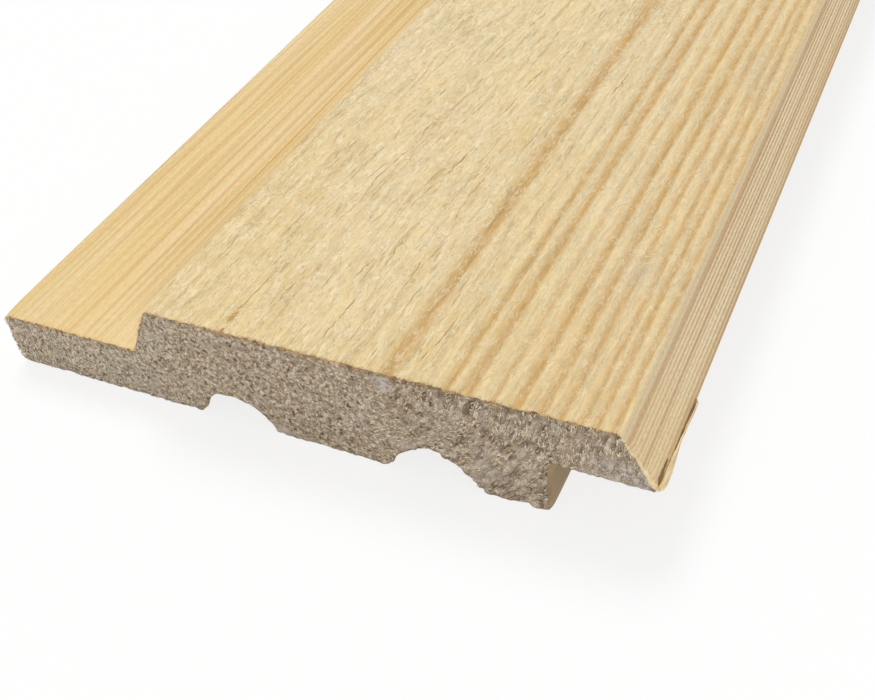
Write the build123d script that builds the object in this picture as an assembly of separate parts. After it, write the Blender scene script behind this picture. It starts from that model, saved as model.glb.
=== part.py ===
"""Channel siding board: one length of softwood cladding, machined to a lap profile.

The board lies flat with its back down and its fine-sawn face up.
X runs across the board, from the tongue on the left to the lip on the right.
Y runs along the grain, and Z is up.
The origin is the middle of the board's footprint, on the back plane.
Sizes are in millimetres.
"""

from build123d import *
import os

# Board blank
board_length = 1800.0
board_width = 120.0
board_thickness = 21.0

# Tongue: the thin left margin that the next board's lip covers
tongue_width = 29.3
tongue_thickness = 10.8
shoulder_run = 5.4

# Lip and rabbet: the right margin that covers the next board's tongue
lip_reach = 16.6
lap_clearance = 0.3
bevel_run = 5.5
nose_land = 0.8

# Relief grooves: runs of one round cutter in the back
groove_count = 2
groove_setback = 19.2
groove_pitch = 36.7
groove_depth = 6.0
groove_cutter_radius = 8.0

# Rounded arrises left by the cutters
face_arris = 0.4
tip_arris = 1.1
nose_arris = 0.4
rabbet_corner_radius = 0.9
groove_mouth_radius = 1.2

# Places across the board, measured from the middle of its footprint
left_edge = -board_width / 2
right_edge = board_width / 2
tongue_root = left_edge + tongue_width
shoulder_top = tongue_root + shoulder_run
bevel_top = right_edge - bevel_run
rabbet_wall = right_edge - lip_reach
last_groove = rabbet_wall - groove_setback
groove_centres = [last_groove - step * groove_pitch for step in range(groove_count)]
groove_half_mouth = (groove_depth * (2 * groove_cutter_radius - groove_depth)) ** 0.5

# Heights above the back
lip_underside = tongue_thickness + lap_clearance
nose_top = lip_underside + nose_land
groove_axis_height = groove_depth - groove_cutter_radius


def lap_seat():
    """Waste above the tongue, out to the sloped shoulder that closes the channel."""
    corners = [
        (left_edge, tongue_thickness),
        (tongue_root, tongue_thickness),
        (shoulder_top, board_thickness),
        (left_edge, board_thickness),
    ]
    return make_face(Polyline(*corners, close=True))


def face_bevel():
    """Waste above the sloped front of the lip, down to its short upright nose."""
    corners = [
        (bevel_top, board_thickness),
        (right_edge, nose_top),
        (right_edge, board_thickness),
    ]
    return make_face(Polyline(*corners, close=True))


def rabbet():
    """Waste below the lip, as deep as the next board's tongue and its clearance."""
    waste = Rectangle(lip_reach, lip_underside, align=(Align.MIN, Align.MIN))
    return Pos(rabbet_wall, 0) * waste


def relief_groove(centre):
    """Round cutter that leaves a groove of the set depth in the back."""
    return Pos(centre, groove_axis_height) * Circle(groove_cutter_radius)


def corner_at(outline, x, height):
    """Corner of an outline that lies nearest to one point of the section."""
    return min(
        outline.vertices(),
        key=lambda corner: abs(corner.X - x) + abs(corner.Y - height),
    )


def round_corners(outline):
    """Ease the cutter's corners, each by the radius of its own kind."""
    corners = [
        (left_edge, 0, tip_arris),
        (left_edge, tongue_thickness, face_arris),
        (shoulder_top, board_thickness, face_arris),
        (bevel_top, board_thickness, face_arris),
        (right_edge, nose_top, nose_arris),
        (right_edge, lip_underside, nose_arris),
        (rabbet_wall, lip_underside, rabbet_corner_radius),
        (rabbet_wall, 0, face_arris),
    ]
    for centre in groove_centres:
        for side in (-groove_half_mouth, groove_half_mouth):
            corners.append((centre + side, 0, groove_mouth_radius))
    for x, height, radius in corners:
        outline = fillet(corner_at(outline, x, height), radius)
    return outline


def board_section():
    """Machined outline of the board, with heights along the sketch's own Y."""
    outline = Rectangle(board_width, board_thickness, align=(Align.CENTER, Align.MIN))
    outline = outline - lap_seat() - face_bevel() - rabbet()
    for centre in groove_centres:
        outline -= relief_groove(centre)
    return round_corners(outline)


def siding_board():
    """The board: its section carried along the grain, with both ends sawn square."""
    section = Plane.XZ * board_section()
    board = extrude(section, amount=board_length / 2, both=True)
    board.label = "siding_board"
    return board


os.makedirs("parts", exist_ok=True)
export_step(siding_board(), "parts/siding_board.step")
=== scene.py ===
"""Looks of the channel siding board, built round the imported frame.

The board is one length of pale softwood cladding, lying on its back.
Shapes are worked out in millimetres in the frame's axes and put into meshes in metres.
X runs across the board, Y along the grain from the sawn end at -900 mm, and Z up.
"""

import logging
import math
from dataclasses import dataclass, field
from enum import IntEnum

import bpy
import numpy as np
from mathutils import Matrix, Vector

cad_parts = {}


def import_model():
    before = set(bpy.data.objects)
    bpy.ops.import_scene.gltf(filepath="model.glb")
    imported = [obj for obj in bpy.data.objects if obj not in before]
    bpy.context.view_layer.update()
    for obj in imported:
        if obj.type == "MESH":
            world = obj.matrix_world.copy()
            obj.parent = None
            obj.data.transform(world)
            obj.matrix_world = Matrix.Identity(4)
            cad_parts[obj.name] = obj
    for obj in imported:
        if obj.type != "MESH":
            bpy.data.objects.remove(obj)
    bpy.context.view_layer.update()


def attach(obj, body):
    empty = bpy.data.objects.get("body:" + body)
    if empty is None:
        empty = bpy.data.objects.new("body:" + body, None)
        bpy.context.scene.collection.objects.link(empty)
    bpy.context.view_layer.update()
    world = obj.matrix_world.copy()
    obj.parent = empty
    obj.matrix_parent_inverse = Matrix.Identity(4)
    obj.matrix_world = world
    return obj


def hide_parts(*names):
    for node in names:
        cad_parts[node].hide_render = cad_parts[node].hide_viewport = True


log = logging.getLogger("channel_siding_board")

MM = 0.001
HALF_LENGTH = 900.0
NODE = "siding_board"
Socket = bpy.types.NodeSocket
Triple = tuple[float, float, float]
Colour = Triple


class Zone(IntEnum):
    """Kinds of surface on the board, in the order of its material slots."""

    SAWN_FACE = 0
    PLANED = 1
    REEDED_BEVEL = 2
    END_GRAIN = 3
    MACHINED = 4
    BACK = 5
    TORN_NOSE = 6


class Seed(IntEnum):
    """Seeds that keep each use of chance apart."""

    FACE = 11
    END = 23
    FURROW = 26
    TEAR = 30
    ARRIS = 37
    FIBRE = 41
    GROOVE = 42
    TUFT = 53
    GRAIN = 54
    CHECK = 67
    LIP = 72
    SPLINTER = 76


# Chance and small curves


def hashed(ix: np.ndarray, iy: np.ndarray, seed: int) -> np.ndarray:
    """Fixed pseudo-random numbers for the whole-number points of a lattice.

    Each point's two numbers and the seed are multiplied by large odd numbers,
    added, and stirred by shifts, and the result is scaled to -1 to 1.

    Args:
        ix: Whole numbers along the first axis.
        iy: Whole numbers along the second axis.
        seed: Number that keeps one use apart from the others.

    Returns:
        Numbers from -1 to 1, in the shape of ix and iy.
    """
    stirred = (
        ix.astype(np.int64) * 374761393 + iy.astype(np.int64) * 668265263 + seed * 974634777
    ) & 0xFFFFFFFF
    stirred = ((stirred ^ (stirred >> 13)) * 1274126177) & 0xFFFFFFFF
    stirred = ((stirred ^ (stirred >> 16)) * 2246822519) & 0xFFFFFFFF
    return ((stirred ^ (stirred >> 15)) & 0xFFFFFF) / float(0x7FFFFF) - 1.0


def drift_noise(u: np.ndarray, v: np.ndarray, seed: int, octaves: int = 1) -> np.ndarray:
    """Smooth noise over a plane: hashed lattice values joined by a smooth step.

    Args:
        u: First coordinate, one lattice cell per unit.
        v: Second coordinate, one lattice cell per unit.
        seed: Number that keeps one use apart from the others.
        octaves: How many layers are added, each twice as fine and half as strong.

    Returns:
        Numbers of about -1 to 1, in the shape of u and v.
    """
    u, v = np.broadcast_arrays(np.asarray(u, float), np.asarray(v, float))
    total = np.zeros(u.shape)
    weight = 1.0
    for layer in range(octaves):
        a, b = u * 2**layer, v * 2**layer
        ia, ib = np.floor(a), np.floor(b)
        fa, fb = a - ia, b - ib
        sa, sb = fa * fa * (3 - 2 * fa), fb * fb * (3 - 2 * fb)
        low, high = (
            hashed(ia, row, seed + layer) * (1 - sa) + hashed(ia + 1, row, seed + layer) * sa
            for row in (ib, ib + 1)
        )
        total += weight * (low * (1 - sb) + high * sb)
        weight *= 0.5
    return total


def ease(x: np.ndarray, low: float, high: float) -> np.ndarray:
    """Smooth step from 0 at low to 1 at high: 3q squared less 2q cubed."""
    q = np.clip((np.asarray(x, float) - low) / (high - low), 0, 1)
    return q * q * (3 - 2 * q)


def bell(x: np.ndarray, at: float, width: float | np.ndarray) -> np.ndarray:
    """Bell round a place: e to the minus square of the distance over the width."""
    return np.exp(-(((x - at) / width) ** 2))


def spots(x: np.ndarray, y: np.ndarray, z: np.ndarray | float) -> np.ndarray:
    """Places from their three parts, spread to one shape and set on a last axis."""
    return np.stack(np.broadcast_arrays(x, y, z), -1)


def arc(turn: np.ndarray, radius: float, middle: tuple[float, float]) -> np.ndarray:
    """Points of a circle at the given angles, shape (n, 2)."""
    return np.stack([np.cos(turn), np.sin(turn)], 1) * radius + middle


def rounded_corner(
    before: tuple[float, float],
    corner: tuple[float, float],
    after: tuple[float, float],
    radius: float,
    count: int = 6,
) -> np.ndarray:
    """Arc that rounds one corner between two straight runs.

    The arc touches both runs at radius / tan(half angle) from the corner, and its
    points turn evenly round its centre.

    Args:
        before: Point on the run that comes in.
        corner: The sharp corner.
        after: Point on the run that goes out.
        radius: Radius of the arc.
        count: Points on the arc.

    Returns:
        Points of the arc, shape (count, 2), in running order.
    """
    p, c, n = (np.array(q, float) for q in (before, corner, after))
    u, v = (p - c) / np.linalg.norm(p - c), (n - c) / np.linalg.norm(n - c)
    half = math.acos(float(np.clip(u @ v, -1, 1))) / 2
    middle = c + (u + v) / np.linalg.norm(u + v) * radius / math.sin(half)
    start = c + u * radius / math.tan(half) - middle
    stop = c + v * radius / math.tan(half) - middle
    turn = math.acos(float(np.clip(start @ stop / radius**2, -1, 1)))
    q = np.linspace(0, 1, count)[:, None]
    return middle + (np.sin((1 - q) * turn) * start + np.sin(q * turn) * stop) / math.sin(turn)


def along(line: np.ndarray) -> np.ndarray:
    """Running length of a line of points, from 0 at its first point."""
    return np.concatenate([[0.0], np.cumsum(np.linalg.norm(np.diff(line, axis=0), axis=1))])


def place_on(line: np.ndarray, at: np.ndarray) -> np.ndarray:
    """Points at the given running lengths of a line."""
    run = along(line)
    return np.stack([np.interp(at, run, line[:, k]) for k in range(line.shape[1])], axis=1)


# Meshes


def put_mesh(
    name: str,
    points: np.ndarray,
    faces: np.ndarray,
    materials: list[bpy.types.Material],
    zones: np.ndarray | None = None,
    sharp_angle: float = 50.0,
) -> bpy.types.Object:
    """Puts whole arrays of points and faces into one new mesh object at the origin.

    Args:
        name: Name of the piece.
        points: Places in millimetres, shape (n, 3).
        faces: Corner numbers, shape (m, 3) or (m, 4), outward by the right-hand rule.
        materials: Materials in slot order.
        zones: Slot number of each face.
        sharp_angle: Edges that turn by more degrees than this keep a crisp line.

    Returns:
        The new object, linked to the scene.
    """
    mesh = bpy.data.meshes.new(name)
    sides = faces.shape[1]
    mesh.vertices.add(len(points))
    mesh.vertices.foreach_set("co", (points * MM).astype(np.float32).ravel())
    mesh.loops.add(faces.size)
    mesh.loops.foreach_set("vertex_index", faces.astype(np.int32).ravel())
    mesh.polygons.add(len(faces))
    mesh.polygons.foreach_set("loop_start", np.arange(0, faces.size, sides, dtype=np.int32))
    mesh.polygons.foreach_set("use_smooth", np.ones(len(faces), bool))
    for material in materials:
        mesh.materials.append(material)
    if zones is not None:
        mesh.polygons.foreach_set("material_index", zones.astype(np.int32))
    mesh.update(calc_edges=True)
    mesh.validate()
    mesh.set_sharp_from_angle(angle=math.radians(sharp_angle))
    piece = bpy.data.objects.new(name, mesh)
    bpy.context.scene.collection.objects.link(piece)
    return piece


def put_attribute(piece: bpy.types.Object, name: str, values: np.ndarray) -> None:
    """Stores one number or one vector for each point of a mesh.

    Args:
        piece: The mesh object.
        name: Name that materials read.
        values: Shape (n,) for numbers or (n, 3) for vectors.
    """
    kind, key = ("FLOAT", "value") if values.ndim == 1 else ("FLOAT_VECTOR", "vector")
    layer = piece.data.attributes.new(name, kind, "POINT")
    layer.data.foreach_set(key, values.astype(np.float32).ravel())


def thread_faces(threads: int, stations: int) -> np.ndarray:
    """Triangles of closed threads whose rings have three points each.

    Neighbouring rings are joined by quads of two triangles, and one triangle closes
    each end.

    Args:
        threads: How many threads there are.
        stations: Rings in each thread.

    Returns:
        Corner numbers, shape (m, 3).
    """
    here = (np.arange(threads) * stations * 3)[:, None, None]
    here = here + (np.arange(stations - 1) * 3)[None, :, None] + np.arange(3)
    beside = here - np.arange(3) + (np.arange(3) + 1) % 3
    walls = np.concatenate(
        [np.stack([here, beside, beside + 3], -1), np.stack([here, beside + 3, here + 3], -1)]
    )
    first = (np.arange(threads) * stations * 3)[:, None]
    last = first + (stations - 1) * 3
    caps = np.concatenate([first + [2, 1, 0], last + [0, 1, 2]])
    return np.concatenate([walls.reshape(-1, 3), caps])


def tapered_threads(paths: np.ndarray, radii: np.ndarray) -> tuple[np.ndarray, np.ndarray]:
    """Closed three-sided threads carried along many paths at once.

    Round each path point stand three points at a radius, a third of a turn apart, in
    the plane across the path.

    Args:
        paths: Centre lines, shape (threads, stations, 3).
        radii: Radius at each station, shape (threads, stations).

    Returns:
        Points (n, 3) and triangles (m, 3).
    """
    threads, stations, _ = paths.shape
    heading = np.gradient(paths, axis=1)
    heading /= np.linalg.norm(heading, axis=2, keepdims=True) + 1e-9
    helper = np.where(np.abs(heading[..., 2:3]) > 0.8, [[[1.0, 0, 0]]], [[[0, 0, 1.0]]])
    side = np.cross(heading, helper)
    side /= np.linalg.norm(side, axis=2, keepdims=True) + 1e-9
    rise = np.cross(side, heading)
    turn = np.array([0.5, 7 / 6, 11 / 6]) * math.pi
    ring = paths[:, :, None] + radii[:, :, None, None] * (
        np.cos(turn)[:, None] * side[:, :, None] + np.sin(turn)[:, None] * rise[:, :, None]
    )
    return ring.reshape(-1, 3), thread_faces(threads, stations)


def put_threads(
    name: str, paths: np.ndarray, radii: np.ndarray, material: bpy.types.Material
) -> bpy.types.Object:
    """Puts tapered threads along many paths into one smooth piece.

    Args:
        name: Name of the piece.
        paths: Centre lines, shape (threads, stations, 3).
        radii: Radius at each station, shape (threads, stations).
        material: The piece's material.

    Returns:
        The piece with all the threads.
    """
    points, faces = tapered_threads(paths, radii)
    return put_mesh(name, points, faces, [material], sharp_angle=180.0)


# Shape of the board


@dataclass
class BoardSection:
    """The machined outline, in millimetres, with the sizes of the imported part.

    The outlines of the back and of the top end on the lip, at back_end and bevel_end,
    and the nose's outline runs between those two places.
    """

    half_width: float = 60.0
    thickness: float = 21.0
    tongue_root: float = -30.7
    tongue_top: float = 10.8
    shoulder_top: float = -25.3
    bevel_top: float = 54.5
    nose_top: float = 11.9
    lip_underside: float = 11.1
    rabbet_wall: float = 43.4
    groove_centres: tuple[float, float] = (-12.5, 24.2)
    groove_radius: float = 8.0
    groove_axis: float = -2.0
    mouth_radius: float = 1.2
    arris: float = 0.4
    tongue_corner: float = 1.5
    wall_corner: float = 0.6
    rabbet_corner: float = 0.9
    back_end: tuple[float, float] = (58.0, 11.1)
    bevel_end: tuple[float, float] = (57.9, 15.37)
    columns: tuple[int, ...] = (48, 16, 11, 46, 54, 46, 30, 30, 16)
    rows: int = 38

    def mouth_reach(self) -> float:
        """Distance from a groove's centre to where its mouth meets the back."""
        reach = self.groove_radius + self.mouth_radius
        return math.sqrt(reach**2 - (self.mouth_radius - self.groove_axis) ** 2)

    def groove_line(self, centre: float) -> np.ndarray:
        """Outline of one relief groove with its rounded mouths.

        Each mouth is an arc that touches the back and the cutter's circle, so its
        centre stands at the sum of both radii from the cutter's centre.

        Args:
            centre: Place of the groove across the board.

        Returns:
            Points from the left mouth to the right, shape (n, 2).
        """
        offset = self.mouth_reach()
        lean = math.atan2(self.mouth_radius - self.groove_axis, offset)
        turn = np.linspace(-math.pi / 2, -lean, 9)
        left = arc(turn, self.mouth_radius, (-offset, self.mouth_radius))
        sweep = np.linspace(math.pi - lean, lean, 60)[1:-1]
        crown = arc(sweep, self.groove_radius, (0, self.groove_axis))
        return np.concatenate([left, crown, left[::-1] * [-1, 1]]) + [centre, 0]

    def back_line(self) -> np.ndarray:
        """Dense outline of the back, from the tongue's tip to the lip's underside."""
        w, wall, lip = self.half_width, self.rabbet_wall, self.lip_underside
        parts = [rounded_corner((-w, 5), (-w, 0), (0, 0), self.tongue_corner, 8)]
        parts += [self.groove_line(centre) for centre in self.groove_centres]
        parts.append(rounded_corner((0, 0), (wall, 0), (wall, 5), self.wall_corner))
        parts.append(rounded_corner((wall, 0), (wall, lip), (w, lip), self.rabbet_corner, 8))
        return np.concatenate([*parts, [self.back_end]])

    def face_line(self) -> np.ndarray:
        """Dense outline of the top, from the tongue's tip to low on the bevel."""
        w, top = self.half_width, self.thickness
        tongue, root, shoulder = self.tongue_top, self.tongue_root, self.shoulder_top
        nose = (w, self.nose_top)
        parts = [
            rounded_corner((-w, 5), (-w, tongue), (0, tongue), self.arris),
            [[root - 0.15, tongue], [root + 0.06, tongue + 0.12]],
            rounded_corner((root, tongue), (shoulder, top), (0, top), self.arris),
            rounded_corner((0, top), (self.bevel_top, top), nose, self.arris),
            [self.bevel_end],
        ]
        return np.concatenate(parts)

    def nose_line(self) -> np.ndarray:
        """Dense outline round the lip's nose, from its underside to low on the bevel."""
        w, lip, nose = self.half_width, self.lip_underside, self.nose_top
        bevel = (self.bevel_top, self.thickness)
        parts = [
            [self.back_end],
            rounded_corner((0, lip), (w, lip), (w, 20), self.arris, 7),
            rounded_corner((w, lip), (w, nose), bevel, self.arris, 5),
            [self.bevel_end],
        ]
        return np.concatenate(parts)

    def top_points(self, across: np.ndarray, y: np.ndarray, lift: np.ndarray) -> np.ndarray:
        """Points over the face and on down the bevel, by their running place across.

        Up to the bevel the place is X itself. Beyond it the surface falls by the
        bevel's slope. The lift is measured along the surface's normal.

        Args:
            across: Running places across.
            y: Places along.
            lift: Heights over the surface.

        Returns:
            Points, with one more axis of three than across.
        """
        run, fall = self.half_width - self.bevel_top, self.thickness - self.nose_top
        slope = np.array([run, fall]) / math.hypot(run, fall)
        beyond = np.clip(across - self.bevel_top, 0, None)
        on_bevel = beyond > 0
        x = np.minimum(across, self.bevel_top) + beyond * slope[0] + lift * on_bevel * slope[1]
        z = self.thickness - beyond * slope[1] + lift * np.where(on_bevel, slope[0], 1.0)
        return spots(x, y, z)

    def matched_lines(self) -> tuple[np.ndarray, np.ndarray]:
        """Back and top outlines with the same number of points, matched in pairs.

        Both lines are cut at the same places across the board, and each cut piece is
        divided evenly along its own length into the same number of steps.

        Returns:
            The back points and the top points, each of shape (columns + 1, 2).
        """
        reach = self.mouth_reach()
        mouths = [centre + side for centre in self.groove_centres for side in (-reach, reach)]
        cuts = [self.tongue_root, self.shoulder_top, *mouths]
        back, face = self.back_line(), self.face_line()
        run_b, run_f = along(back), along(face)
        lip_run = self.back_end[0] - self.rabbet_wall
        stops_b = [0.0, *np.interp(cuts, back[:, 0], run_b), run_b[-1] - lip_run + 0.2]
        stops_b += [run_b[-1] - 4.5, run_b[-1]]
        cuts += [self.rabbet_wall, self.bevel_top]
        stops_f = [0.0, *np.interp(cuts, face[:, 0], run_f), run_f[-1]]
        lines = []
        for line, stops in ((back, stops_b), (face, stops_f)):
            steps = zip(stops, stops[1:], self.columns)
            at = [np.linspace(start, stop, count + 1)[1:] for start, stop, count in steps]
            lines.append(place_on(line, np.concatenate([[0.0], *at])))
        return lines[0], lines[1]

    def end_grid(self) -> np.ndarray:
        """Grid over the whole end of the board.

        A row runs from the back's point to the matched point of the top in straight
        steps. The last columns also take on the bulge of the nose, by a smooth step.

        Returns:
            Places across and up, shape (rows, columns + 1, 2).
        """
        back, top = self.matched_lines()
        v = np.linspace(0, 1, self.rows)[:, None, None]
        grid = back[None] * (1 - v) + top[None] * v
        nose = self.nose_line()
        bulge = place_on(nose, np.linspace(0, along(nose)[-1], self.rows)) - grid[:, -1]
        share = ease(np.arange(len(back)), len(back) - self.columns[-1], len(back) - 1)
        return grid + share[None, :, None] * bulge[:, None]


@dataclass
class GrowthRings:
    """Where the tree's rings run through the board, in millimetres.

    The rings are circles round a pith line above the face. Each entry of late_bands
    is a ring's radius and its strength, and its width towards the pith and away from
    it, read from its streaks on the face and on the tongue.
    """

    pith_x: float = 7.0
    pith_z: float = 28.0
    sway: float = 5.0
    sway_length: float = 220.0
    late_bands: tuple[tuple[float, float, float, float], ...] = (
        (9.0, 0.25, 0.9, 0.5),
        (14.0, 1.00, 1.60, 1.00),
        (17.4, 0.30, 0.6, 0.3),
        (19.6, 0.30, 0.6, 0.3),
        (22.9, 0.95, 1.00, 0.36),
        (26.0, 1.00, 1.45, 0.46),
        (29.8, 0.64, 0.80, 0.32),
        (33.5, 1.00, 1.35, 0.36),
        (37.0, 1.00, 1.25, 0.34),
        (39.8, 0.86, 1.00, 0.32),
        (42.75, 0.82, 0.90, 0.32),
        (44.8, 0.95, 0.90, 0.30),
        (47.2, 0.86, 0.80, 0.30),
        (49.0, 0.30, 0.50, 0.26),
        (52.0, 0.30, 0.50, 0.26),
        (54.9, 0.30, 0.60, 0.28),
        (57.1, 0.30, 0.50, 0.26),
        (59.4, 0.25, 0.50, 0.26),
        (61.8, 0.30, 0.50, 0.26),
        (64.3, 0.25, 0.50, 0.26),
        (67.3, 0.30, 0.50, 0.26),
    )
    plain_share: float = 0.22
    plain_reach: float = 48.0

    def drift(self, y: np.ndarray) -> np.ndarray:
        """Sideways wander of the pith along the board: a slow sine from the near end."""
        return self.sway * np.sin((np.asarray(y) + HALF_LENGTH) / self.sway_length)

    def radius(self, x: np.ndarray, y: np.ndarray, z: np.ndarray) -> np.ndarray:
        """Distance from the wandering pith line, with a slow unevenness added.

        The wander is a quarter stronger on the left of the face and halves to the right.
        """
        fan = 1.25 - 0.033 * np.clip(x - 28.0, 0, 24) - 0.25 * ease(-x, -10.0, 30.0)
        side = x - self.pith_x - self.drift(y) * fan
        return np.hypot(side, z - self.pith_z) + 0.25 * drift_noise(side / 9, y / 160, 5)

    def late(self, x: np.ndarray, y: np.ndarray, z: np.ndarray) -> np.ndarray:
        """Share of dense latewood at points of the board.

        Each ring adds a bell of its strength round its radius, wider towards the pith
        than away from it, because a ring darkens slowly and stops short. The inner
        rings left of the pith are faint.

        Args:
            x: Places across.
            y: Places along.
            z: Heights.

        Returns:
            Numbers from 0 to about 1, in the shape of x.
        """
        r = self.radius(x, y, z)
        total = np.zeros(r.shape)
        for at, strength, inner, outer in self.late_bands:
            total = np.maximum(total, strength * bell(r, at, np.where(r < at, inner, outer)))
        left = ease(self.pith_x + self.drift(y) - x, -3.0, 4.0)
        left = left * ease(self.plain_reach - r, 0.0, 0.6)
        return total * (1 - (1 - self.plain_share) * left)

    def knot(self, x: np.ndarray, y: np.ndarray) -> np.ndarray:
        """Small tan knot mark on the face: a bell drawn out along the grain."""
        return bell(x, 19.7, 1.0) * bell(y, -872.0, 2.2)

    def smudge(self, x: np.ndarray, y: np.ndarray) -> np.ndarray:
        """Greyish patches on the right of the face: two soft bells."""
        near, far = bell(x, 46.3, 2.6) * bell(y, -867.0, 4.0), bell(x, 50.0, 4.5)
        return np.maximum(near, 0.6 * far * bell(y, -806.0, 9.0))

    def lean(self, x: np.ndarray, y: np.ndarray) -> np.ndarray:
        """Slant of the fibres in the plain part of the face, as a shift across.

        The shift grows by a smooth step over the first 110 mm from the end and dies
        away again, strongest at the middle of a bell across the board.
        """
        t = np.asarray(y) + HALF_LENGTH
        middle, gone = bell(x, 0.0, 17.0), ease(t, 150, 330)
        near = 5.5 * ease(t, 18, 115) * (1 - gone)
        far = 4.0 * drift_noise(x / 40, t / 210, 9) * gone
        return middle * near + far * (0.3 + 0.7 * middle)


@dataclass
class Relief:
    """How far the sawn surfaces stand off the machined outline, in millimetres."""

    face_swell: float = 0.05
    end_swell: float = 0.13
    furrow_depth: float = 0.45
    chip_depth: float = 0.62
    tip_loss: float = 0.55
    nose_loss: float = 0.9
    crown_bite: float = 0.9
    left_standing: float = 1.15
    wall_stand: float = 0.50
    rings: GrowthRings = field(default_factory=GrowthRings)

    def face(self, x: np.ndarray, y: np.ndarray) -> np.ndarray:
        """Height of the sawn face over its plane: noise drawn out along the grain."""
        shift = x - self.rings.drift(y) - self.rings.lean(x, y)
        return self.face_swell * drift_noise(shift / 1.6, y / 9, Seed.FACE, 2)

    def nose_share(self, x: np.ndarray, z: np.ndarray) -> np.ndarray:
        """How far a point of the end lies in the corner torn off the nose.

        The tear's border runs just inside the bevel and leaves it near the nose, and
        the share grows from 0 there by the distance beyond it, in millimetres.
        """
        border = 55.1 + (19.5 - z) * 0.54 + 0.22 * drift_noise(z / 1.2, 0, Seed.TEAR)
        return np.clip(x - border, 0, None)

    def end(self, x: np.ndarray, z: np.ndarray) -> np.ndarray:
        """How far the sawn end stands in from its plane.

        Noise of about a millimetre covers the whole end. In the right half, furrows
        are torn along the growth rings: noise that is fine across the rings and long
        along them, kept where it is high, and shallower in latewood. Beyond the tear's
        border the end falls back as steeply as the tear is wide.

        Args:
            x: Places across.
            z: Heights.

        Returns:
            Depths, positive into the wood.
        """
        side, up = x - self.rings.pith_x, z - self.rings.pith_z
        r, way = np.hypot(side, up), np.arctan2(side, -up) * 30
        rough = self.end_swell * drift_noise(x / 0.9, z / 0.9, Seed.END, 2)
        torn = ease(drift_noise(r / 1.2, way / 3.4, Seed.FURROW, 2), 0.0, 0.9)
        torn = torn * ease(x, 12, 26) * (1 - 0.6 * ease(x, 47, 52))
        late = self.rings.late(x, np.full_like(x, -HALF_LENGTH), z)
        share = self.nose_share(x, z)
        whole = rough + self.furrow_depth * torn * (1 - 0.6 * late) + 0.05 * (1 - late)
        return whole * (1 - 0.7 * ease(share, 0, 0.6)) + self.nose_loss * ease(share, 0, 1.6)

    def arris(self, across: np.ndarray, t: np.ndarray) -> np.ndarray:
        """Depth of the ragged chips along the sawn end's outline.

        Sharp noise along the outline, kept where it is high, and dying away within
        a millimetre along the board. The tongue's upper corner is knocked off.
        """
        chips = ease(drift_noise(across / 0.8, 0, Seed.ARRIS, 2), -0.2, 1.1)
        tip = self.tip_loss * bell(across, -60.1, 0.7) * np.exp(-t / 1.6)
        return self.chip_depth * chips * np.exp(-t / 0.55) + tip

    def broken_groove(self, across: np.ndarray, x: np.ndarray) -> np.ndarray:
        """Unevenness of the groove walls at the sawn end, mostly in the right groove.

        Noise follows the outline, with one bite at the right groove's crown and wood
        left standing on the left groove's left wall.
        """
        size = 0.05 + 0.30 * ease(x, 5, 20)
        noise = size * drift_noise(across / 1.5, 0, Seed.GROOVE, 2)
        standing = self.left_standing * bell(x, -18.9, 1.6)
        return noise - self.crown_bite * bell(x, 24.2, 0.55) + standing

    def wall(self, t: np.ndarray) -> np.ndarray:
        """How far the rabbet's wall stands out: nothing at the end, where it is broken."""
        return self.wall_stand * (1 - np.exp(-t / 0.7))


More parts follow.
